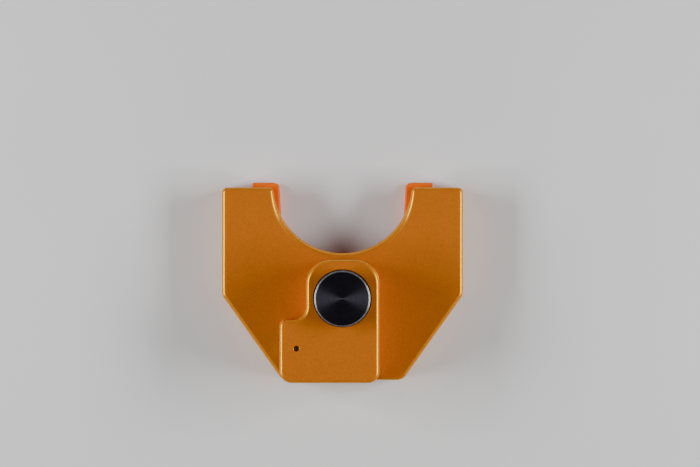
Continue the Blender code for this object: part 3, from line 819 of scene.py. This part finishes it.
def make_liner():
    section = rounded([
        (LINER_INNER, 0.0, 0.7),
        (LINER_OUTER, 0.0, 0.5),
        (LINER_OUTER, LINER_TOP, 0.5),
        (LINER_INNER, LINER_TOP, 0.7),
        (LINER_INNER, GROOVE_HIGH, 0.7),
        (LINER_GROOVE, GROOVE_HIGH, 0.8),
        (LINER_GROOVE, GROOVE_LOW, 0.8),
        (LINER_INNER, GROOVE_LOW, 0.7),
    ], 15.0)
    soft = 0.6  # the rounding of each end
    ends = [(LINER_END, soft), (LINER_END - 0.08, 0.3), (LINER_END - 0.25, 0.1), (LINER_END - soft, 0.0)]
    ends += [(LINER_END - back, 0.0) for back in (0.85, 1.15, 1.55, LINER_CORNER, 5.0, 9.0)]
    ends.append((LINER_FLARE, 0.0))
    stations = [((0.0, y), (1.0, 0.0), amount, liner_mouth(y)) for y, amount in ends]
    steps = 72
    for k in range(steps + 1):
        angle = math.radians(-180.0 * k / steps)
        stations.append(((0.0, LINER_CENTRE), (math.cos(angle), math.sin(angle)), 0.0, 0.0))
    stations += [((0.0, y), (-1.0, 0.0), amount, liner_mouth(y)) for y, amount in reversed(ends)]
    rings = []
    for origin, outward, amount, back in stations:
        ring = []
        for r, z in inset(section, amount):
            reach = r + back * min(1.0, max(0.0, (LINER_GROOVE - r) / (LINER_GROOVE - LINER_INNER)))
            ring.append(in_frame(origin[0] + outward[0] * reach, origin[1] + outward[1] * reach, z))
        rings.append(ring)
    liner = skin("liner", rings)
    below = -1.0
    for n, spot in enumerate(arc((0.0, LINER_CENTRE), MOULD_MARK_RING, 0.0, -180.0, steps=6)):
        name = f"mould_mark_{n}"
        cut(liner, mark_cutter(name, spot, 32, below, MOULD_MARK_DEPTH, MOULD_MARK_RADIUS, (0.2, 0.08)))
    present(liner, ORANGE, "housing", "jaw_liner")


# Plunger


def make_plunger():
    dimple = [(0.0, PLUNGER_TOP - 0.35), (0.28, PLUNGER_TOP - 0.28), (0.55, PLUNGER_TOP - 0.04)]
    turning = []
    radius = TURNING_START
    while radius < PLUNGER_RADIUS - 1.1:
        turning.append((radius, PLUNGER_TOP - TURNING_DEPTH))
        turning.append((radius + TURNING_PITCH / 2.0, PLUNGER_TOP))
        radius += TURNING_PITCH
    chamfer = 0.7
    rim = rounded([
        (PLUNGER_RADIUS - 1.2, PLUNGER_TOP, 0.0),
        (PLUNGER_RADIUS - chamfer, PLUNGER_TOP, 0.25),
        (PLUNGER_RADIUS, PLUNGER_TOP - chamfer, 0.25),
        (PLUNGER_RADIUS, LOCK_GROOVE_HIGH, 0.2),
        (LOCK_GROOVE_RADIUS, LOCK_GROOVE_HIGH, 0.4),
        (LOCK_GROOVE_RADIUS, LOCK_GROOVE_LOW, 0.4),
        (PLUNGER_RADIUS, LOCK_GROOVE_LOW, 0.2),
        (PLUNGER_RADIUS, PLUNGER_SKIRT + chamfer, 0.25),
        (PLUNGER_RADIUS - chamfer, PLUNGER_SKIRT, 0.25),
        (SPRING_BORE + 0.4, PLUNGER_SKIRT, 0.0),
        (SPRING_BORE, PLUNGER_SKIRT + 0.4, 0.0),
        (SPRING_BORE, SPRING_CEILING, 0.8),
        (SHAFT_RADIUS, SPRING_CEILING, 0.8),
        (SHAFT_RADIUS, SHAFT_END + 0.3, 0.0),
        (SHAFT_RADIUS - 0.3, SHAFT_END, 0.0),
        (STUD_RADIUS, SHAFT_END, 0.2),
        (STUD_RADIUS, STUD_END + 0.3, 0.0),
        (STUD_RADIUS - 0.3, STUD_END, 0.0),
        (0.0, STUD_END, 0.0),
    ], 15.0, closed=False)
    plunger = turned("push_plunger", dimple + turning + rim, 128, PLUNGER_AXIS)
    present(plunger, BLACKED, "plunger", "plunger", smooth_angle=25.0)


def make_nose():
    hole = STUD_RADIUS + GAP
    profile = rounded([
        (0.0, NOSE_HOLE_END, 0.0),
        (hole, NOSE_HOLE_END, 0.3),
        (hole, NOSE_TOP, 0.2),
        (NOSE_RADIUS, NOSE_TOP, 0.5),
        (NOSE_RADIUS, NOSE_TIP + NOSE_CHAMFER, 0.6),
        (NOSE_RADIUS - NOSE_CHAMFER, NOSE_TIP, 0.6),
        (0.6, NOSE_TIP, 0.0),
        (0.0, NOSE_TIP + 0.4, 0.0),
    ], 12.0, closed=False)
    nose = turned("steel_nose", profile, 80, PLUNGER_AXIS)
    present(nose, HARD_STEEL, "plunger", "plunger_nose")


def make_bush():
    bore = SHAFT_RADIUS + GAP
    seat = WEB_TOP + GAP
    profile = rounded([
        (BUSH_FLANGE_RADIUS, BUSH_FLANGE_TOP, 0.3),
        (BUSH_FLANGE_RADIUS, seat, 0.15),
        (BUSH_RADIUS, seat, 0.1),
        (BUSH_RADIUS, WEB_LOW, 0.3),
        (bore, WEB_LOW, 0.3),
        (bore, BUSH_FLANGE_TOP, 0.3),
    ], 15.0)
    bush = turned("shaft_bush", profile, 72, PLUNGER_AXIS, closed=True)
    present(bush, BRONZE, "housing", "guide_bush")


def coil_path(centre, radius, wire_size, turns, low, high, per_turn):
    """The middle line of a compression spring whose first and last turns are closed up."""
    closed_pitch = wire_size * 1.2
    bottom = low + wire_size / 2.0
    open_pitch = (high - low - wire_size - 2.0 * closed_pitch) / (turns - 2.0)
    count = int(turns * per_turn)
    path = []
    for n in range(count + 1):
        turn = turns * n / count
        middle = min(max(turn - 1.0, 0.0), turns - 2.0)
        height = bottom + (turn - middle) * closed_pitch + middle * open_pitch
        x = centre[0] + radius * math.cos(math.tau * turn)
        y = centre[1] + radius * math.sin(math.tau * turn)
        path.append(in_frame(x, y, height))
    return path


def make_plunger_spring():
    low = BUSH_FLANGE_TOP + GAP
    high = SPRING_CEILING - GAP
    path = coil_path(PLUNGER_AXIS, SPRING_RADIUS, SPRING_WIRE, SPRING_TURNS, low, high, 40)
    spring = wire("plunger_coil", path, SPRING_WIRE / 2.0 * MM, 14)
    present(spring, SPRING_STEEL, "housing", "plunger_spring")
    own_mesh(spring)


# Keyed side


def make_face_plate():
    steps = 4
    outer_edge = edge_levels(-FACE_INNER, -FACE_OUTER, 0.3, steps)[steps + 1:]
    field = [(-FACE_OUTER, FACE_RAISED_EDGE), (-FACE_OUTER - FACE_FIELD_DEPTH, FACE_RAISED_EDGE + 0.2)]
    levels = [(-FACE_INNER, 0.0)] + outer_edge + field
    plate = slab("keyed_side_plate", face_outline(0.0), levels, facing_left)
    outer = FACE_WINDOW + WINDOW_RING
    inner = FACE_WINDOW - 0.5  # cut away again by the window
    root = -FACE_INNER + 0.3
    ring = rounded([
        (outer, root, 0.0),
        (outer, -FACE_OUTER, 0.25),
        (inner, -FACE_OUTER, 0.0),
        (inner, root, 0.0),
    ], 20.0)
    combine(plate, turned("window_ring", ring, 72, BARREL_AXIS, facing_left, closed=True), "UNION")
    behind = 25.0
    window = rim_cutter(FACE_WINDOW, behind, -FACE_OUTER, 0.25)
    cut(plate, turned("key_window", window, 72, BARREL_AXIS, facing_left))
    present(plate, BLACK_PLASTIC, "housing", "face_plate")


def make_cap():
    profile = rounded([
        (0.0, -CAP_REAR, 0.0),
        (PLUG_RADIUS, -CAP_REAR, 0.1),
        (PLUG_RADIUS, -CAP_FRONT, 0.25),
        (0.0, -CAP_FRONT, 0.0),
    ], 15.0, closed=False)
    cap = turned("keyhole_cap", profile, 80, BARREL_AXIS, facing_left)
    low = BARREL_Z - KEY_SLOT_HALF_TALL
    high = BARREL_Z + KEY_SLOT_HALF_TALL
    near = BARREL_Y - KEY_SLOT_HALF_WIDE
    far = BARREL_Y + KEY_SLOT_HALF_WIDE
    bevel = 0.2
    behind = 26.0
    outside = 30.0
    levels = [(behind, 0.0), (-CAP_FRONT - bevel, 0.0), (-CAP_FRONT, -bevel), (outside, -bevel)]
    cut(cap, slab("key_slot", rounded_box(low, near, high, far, 0.4, 15.0), levels, facing_left))
    present(cap, STAINLESS, "plug", "plug_cap")


def make_barrel_pin():
    profile = rounded([
        (0.0, PIN_TOP - 0.1, 0.0),
        (0.35, PIN_TOP, 0.0),
        (PIN_RADIUS, PIN_TOP, 0.3),
        (PIN_RADIUS, PIN_LOW, 0.2),
        (0.0, PIN_LOW, 0.0),
    ], 12.0, closed=False)
    pin = turned("barrel_cross_pin", profile, 40, PIN_AXIS)
    present(pin, HARD_STEEL, "housing", "barrel_pin")


# Inside the block


def make_pawl():
    tail = 0.6
    tip = 0.9
    plan = [
        (PAWL_LOW[0], PAWL_LOW[1], tail),
        (PAWL_HIGH[0], PAWL_LOW[1], tail),
        (PAWL_HIGH[0], PAWL_HIGH[1], tip),
        (PAWL_LOW[0], PAWL_HIGH[1], tip),
    ]
    pawl = slab("bolt_pawl", rounded(plan, 15.0), edge_levels(PAWL_LOW[2], PAWL_HIGH[2], 0.4, 3))
    drive_y = BARREL_Y - DRIVE_OFFSET
    low = (PAWL_LOW[0] - 1.0, drive_y - DRIVE_SLOT_HALF, BARREL_Z - DRIVE_SLOT_DEPTH)
    high = (DRIVE_SLOT_END, drive_y + DRIVE_SLOT_HALF, BARREL_Z)
    cut(pawl, block("drive_slot", low, high))
    present(pawl, HARD_STEEL, "pawl", "locking_pawl")


def make_barrel_sleeve():
    profile = rounded([
        (PLUG_BORE, -BARREL_FRONT, 0.3),
        (BARREL_RADIUS, -BARREL_FRONT, 0.5),
        (BARREL_RADIUS, -BARREL_REAR, 0.4),
        (PLUG_BORE, -BARREL_REAR, 0.3),
    ], 15.0)
    sleeve = turned("barrel_sleeve", profile, 96, BARREL_AXIS, facing_left, closed=True)
    left = WAFER_PLACES[0] - SLEEVE_SLOT_END
    right = WAFER_PLACES[-1] + SLEEVE_SLOT_END
    half = WAFER_HALF + SLEEVE_SLOT_SIDE
    outline = rounded_box(left, BARREL_Y - half, right, BARREL_Y + half, 0.6, 15.0)
    levels = [(BARREL_Z + SLEEVE_SLOT_NEAR, 0.0), (BARREL_Z + SLEEVE_SLOT_FAR, 0.0)]
    cut(sleeve, slab("locked_slot", outline, levels))
    low = (left, BARREL_Y - SLEEVE_SLOT_FAR, BARREL_Z - half)
    high = (right, BARREL_Y - SLEEVE_SLOT_NEAR, BARREL_Z + half)
    cut(sleeve, block("turned_slot", low, high))
    above = 50.0
    seat = [(0.0, BARREL_Z), (PIN_HOLE, BARREL_Z), (PIN_HOLE, above), (0.0, above)]
    cut(sleeve, turned("pin_seat", seat, 40, PIN_AXIS))
    present(sleeve, ZINC, "housing", "barrel_housing")


def make_plug():
    profile = rounded([
        (0.0, -TAIL_REAR, 0.0),
        (TAIL_RADIUS, -TAIL_REAR, 0.3),
        (TAIL_RADIUS, -CLIP_GROOVE_REAR, 0.1),
        (CLIP_GROOVE_RADIUS, -CLIP_GROOVE_REAR, 0.15),
        (CLIP_GROOVE_RADIUS, -CLIP_GROOVE_FRONT, 0.15),
        (TAIL_RADIUS, -CLIP_GROOVE_FRONT, 0.1),
        (TAIL_RADIUS, -PLUG_REAR, 0.15),
        (PLUG_RADIUS, -PLUG_REAR, 0.3),
        (PLUG_RADIUS, -PLUG_FRONT, 0.4),
        (0.0, -PLUG_FRONT, 0.0),
    ], 15.0, closed=False)
    plug = turned("keyed_plug", profile, 96, BARREL_AXIS, facing_left)
    in_tail = -TAIL_REAR + 1.5
    pin_profile = rounded([
        (0.0, -DRIVE_END, 0.0),
        (DRIVE_RADIUS, -DRIVE_END, 0.2),
        (DRIVE_RADIUS, in_tail, 0.0),
        (0.0, in_tail, 0.0),
    ], 15.0, closed=False)
    drive_axis = (BARREL_Z - DRIVE_OFFSET, BARREL_Y - DRIVE_OFFSET)
    combine(plug, turned("drive_pin", pin_profile, 32, drive_axis, facing_left), "UNION")
    open_end = PLUG_FRONT - 1.0
    keyway_low = (open_end, BARREL_Y - KEYWAY_HALF, BARREL_Z - KEY_SLOT_HALF_TALL)
    keyway_high = (KEYWAY_END, BARREL_Y + KEYWAY_HALF, BARREL_Z + KEY_SLOT_HALF_TALL)
    recess_low = (open_end, BARREL_Y - SHUTTER_RECESS_NEAR, BARREL_Z - SHUTTER_RECESS_HALF_TALL)
    recess_right = PLUG_FRONT + SHUTTER_RECESS_DEPTH
    recess_high = (recess_right, BARREL_Y + SHUTTER_RECESS_FAR, BARREL_Z + SHUTTER_RECESS_HALF_TALL)
    cut(plug, block("keyway", keyway_low, keyway_high), block("shutter_recess", recess_low, recess_high))
    over = 1.0  # the slots are open above the risen wafers
    for n, x in enumerate(WAFER_PLACES, start=1):
        half = WAFER_THICK / 2.0 + GAP
        low = (x - half, BARREL_Y - WAFER_HALF - GAP, BARREL_Z + WAFER_LOW - GAP)
        high = (x + half, BARREL_Y + WAFER_HALF + GAP, BARREL_Z + WAFER_HIGH + over)
        pocket_low = (x - SPRING_POCKET_HALF, BARREL_Y + SPRING_POCKET_NEAR, BARREL_Z + SPRING_POCKET_LOW)
        pocket_high = (x + SPRING_POCKET_HALF, BARREL_Y + EAR_FAR + GAP, BARREL_Z + EAR_HIGH + over + GAP)
        cut(plug, block(f"wafer_slot_{n}", low, high), block(f"spring_pocket_{n}", pocket_low, pocket_high))
    present(plug, BRASS, "plug", "barrel_plug")


def make_clip():
    profile = rounded([
        (CLIP_INNER, -CLIP_FRONT, 0.12),
        (CLIP_OUTER, -CLIP_FRONT, 0.12),
        (CLIP_OUTER, -CLIP_REAR, 0.12),
        (CLIP_INNER, -CLIP_REAR, 0.12),
    ], 30.0)
    clip = turned("plug_retainer", profile, 72, BARREL_AXIS, facing_left, closed=True)
    spare = 1.0
    low = (CLIP_FRONT - spare, BARREL_Y - CLIP_MOUTH_HALF, BARREL_Z - CLIP_OUTER - spare)
    high = (CLIP_REAR + spare, BARREL_Y + CLIP_MOUTH_HALF, BARREL_Z)
    cut(clip, block("clip_mouth", low, high))
    present(clip, SPRING_STEEL, "plug", "plug_clip")


def make_wafers():
    corners = [
        (WAFER_LOW, -WAFER_HALF, 0.5),
        (WAFER_LOW, WAFER_HALF, 0.5),
        (EAR_LOW, WAFER_HALF, 0.12),
        (EAR_LOW, EAR_FAR, 0.25),
        (EAR_HIGH, EAR_FAR, 0.25),
        (EAR_HIGH, WAFER_HALF, 0.12),
        (WAFER_HIGH, WAFER_HALF, 0.5),
        (WAFER_HIGH, -WAFER_HALF, 0.5),
    ]
    outline = rounded([(BARREL_Z + z, BARREL_Y + y, radius) for z, y, radius in corners], 15.0)
    half = WAFER_THICK / 2.0
    wide = WAFER_WINDOW_HALF
    foot = BARREL_Z + WAFER_SPRING_LOW
    head = BARREL_Z + EAR_LOW - GAP
    for n, x in enumerate(WAFER_PLACES, start=1):
        wafer = slab(f"lock_wafer_{n}", outline, edge_levels(-x - half, -x + half, 0.08, 2), facing_left)
        low = BARREL_Z + WAFER_WINDOW_LOW + WAFER_WINDOW_STEP * (n % 3)
        high = low + WAFER_WINDOW_TALL
        sides = [(low, -wide), (low, wide), (high, wide), (high, -wide)]
        window = rounded([(z, BARREL_Y + y, 0.3) for z, y in sides], 15.0)
        levels = [(-x - WAFER_THICK, 0.0), (-x + WAFER_THICK, 0.0)]
        cut(wafer, slab(f"wafer_window_{n}", window, levels, facing_left))
        present(wafer, BRASS, "wafers", f"wafer_{n}")
        spot = (x, BARREL_Y + WAFER_SPRING_OUT)
        path = coil_path(spot, WAFER_SPRING_RADIUS, FINE_WIRE, WAFER_SPRING_TURNS, foot, head, 24)
        spring = wire(f"wafer_coil_{n}", path, FINE_WIRE / 2.0 * MM, 8)
        present(spring, SPRING_STEEL, "plug", f"wafer_spring_{n}")


def make_shutter():
    rod = rounded([
        (0.0, BARREL_Z - SHUTTER_ROD_HALF, 0.0),
        (SHUTTER_ROD_RADIUS, BARREL_Z - SHUTTER_ROD_HALF, 0.12),
        (SHUTTER_ROD_RADIUS, BARREL_Z + SHUTTER_ROD_HALF, 0.12),
        (0.0, BARREL_Z + SHUTTER_ROD_HALF, 0.0),
    ], 30.0, closed=False)
    shutter = turned("dust_shutter", rod, 32, (SHUTTER_X, SHUTTER_Y))
    low = BARREL_Z + SHUTTER_FLAP_LOW
    high = BARREL_Z + SHUTTER_FLAP_HIGH
    far = BARREL_Y + SHUTTER_FLAP_FAR
    outline = rounded([
        (low, SHUTTER_Y, 0.0),
        (high, SHUTTER_Y, 0.0),
        (high, far, 0.4),
        (low, far, 0.4),
    ], 15.0)
    rear = -SHUTTER_X - SHUTTER_FLAP_HALF_THICK
    front = -SHUTTER_X + SHUTTER_FLAP_HALF_THICK
    flap = slab("shutter_flap", outline, edge_levels(rear, front, 0.08, 2), facing_left)
    combine(shutter, flap, "UNION")
    present(shutter, STAINLESS, "shutter", "key_shutter")
    coil_low = BARREL_Z - SHUTTER_ROD_HALF + 0.5
    spot = (SHUTTER_X, SHUTTER_Y)
    path = coil_path(spot, SHUTTER_SPRING_RADIUS, FINE_WIRE, SHUTTER_SPRING_TURNS, coil_low, low - GAP, 30)
    spring = wire("shutter_coil", path, FINE_WIRE / 2.0 * MM, 8)
    present(spring, SPRING_STEEL, "plug", "shutter_spring")


make_casting()
make_liner()
make_plunger()
make_nose()
make_bush()
make_plunger_spring()
make_face_plate()
make_cap()
make_barrel_pin()
make_pawl()
make_barrel_sleeve()
make_plug()
make_clip()
make_wafers()
make_shutter()


# Floor, light and camera


def make_floor():
    f = Finish("pale_floor", {"Roughness": 0.6, "Specular IOR Level": 0.25})
    darker = (0.77, 0.77, 0.77, 1.0)
    paler = (0.80, 0.80, 0.80, 1.0)
    f.drive("Base Color", f.mixed(f.noise(60.0, 2.0), darker, paler))
    half = 2000.0
    thick = 10.0
    outline = [(-half, -half), (half, -half), (half, half), (-half, half)]
    floor = slab("floor", outline, [(-thick, 0.0), (0.0, 0.0)])
    floor.data.materials.append(f.material)


def softbox(name, place):
    """A soft panel light at place, in metres, turned towards the lock."""
    data = bpy.data.lights.new(name, "AREA")
    data.shape = "RECTANGLE"
    data.size = 0.68
    data.size_y = 0.26
    data.energy = 10.8
    light = bpy.data.objects.new(name, data)
    light.location = place
    target = Vector((0.0, 0.0, 0.02))
    aim = target - Vector(place)
    light.rotation_euler = aim.to_track_quat("-Z", "Y").to_euler()
    bpy.context.scene.collection.objects.link(light)


def make_world():
    """A studio that is pale low down and darker overhead, and brighter at the sides than front and rear."""
    horizon = (0.20, 0.20, 0.205, 1.0)
    overhead = (0.035, 0.035, 0.04, 1.0)
    side_gain = 1.5
    least_strength = 0.5
    world = bpy.data.worlds.new("studio")
    world.use_nodes = True
    nodes = world.node_tree.nodes
    links = world.node_tree.links
    place = nodes.new("ShaderNodeTexCoord")
    parts = nodes.new("ShaderNodeSeparateXYZ")
    fade = nodes.new("ShaderNodeValToRGB")
    fade.color_ramp.elements[0].color = horizon
    fade.color_ramp.elements[1].color = overhead
    fade.color_ramp.elements[1].position = 0.75
    links.new(place.outputs["Generated"], parts.inputs["Vector"])
    links.new(parts.outputs["Z"], fade.inputs["Fac"])
    links.new(fade.outputs["Color"], nodes["Background"].inputs["Color"])
    sideways = nodes.new("ShaderNodeMath")
    sideways.operation = "MULTIPLY"
    strength = nodes.new("ShaderNodeMath")
    strength.operation = "MULTIPLY_ADD"
    strength.inputs[1].default_value = side_gain
    strength.inputs[2].default_value = least_strength
    links.new(parts.outputs["X"], sideways.inputs[0])
    links.new(parts.outputs["X"], sideways.inputs[1])
    links.new(sideways.outputs["Value"], strength.inputs[0])
    links.new(strength.outputs["Value"], nodes["Background"].inputs["Strength"])
    bpy.context.scene.world = world


def make_camera():
    """A camera straight above, in metres, whose view is view_width across at the plate's upper face."""
    aim_x = 0.0035
    aim_y = 0.0222
    height = 1.2
    view_width = 0.3248
    data = bpy.data.cameras.new("camera")
    data.sensor_width = 36.0
    data.lens = data.sensor_width * height / view_width
    camera = bpy.data.objects.new("camera", data)
    camera.location = (aim_x, aim_y, height + PLATE_TOP * MM)
    bpy.context.scene.collection.objects.link(camera)
    bpy.context.scene.camera = camera


make_floor()
softbox("left_softbox", (-0.85, 0.02, 0.57))
softbox("right_softbox", (0.85, 0.02, 0.57))
make_world()
make_camera()
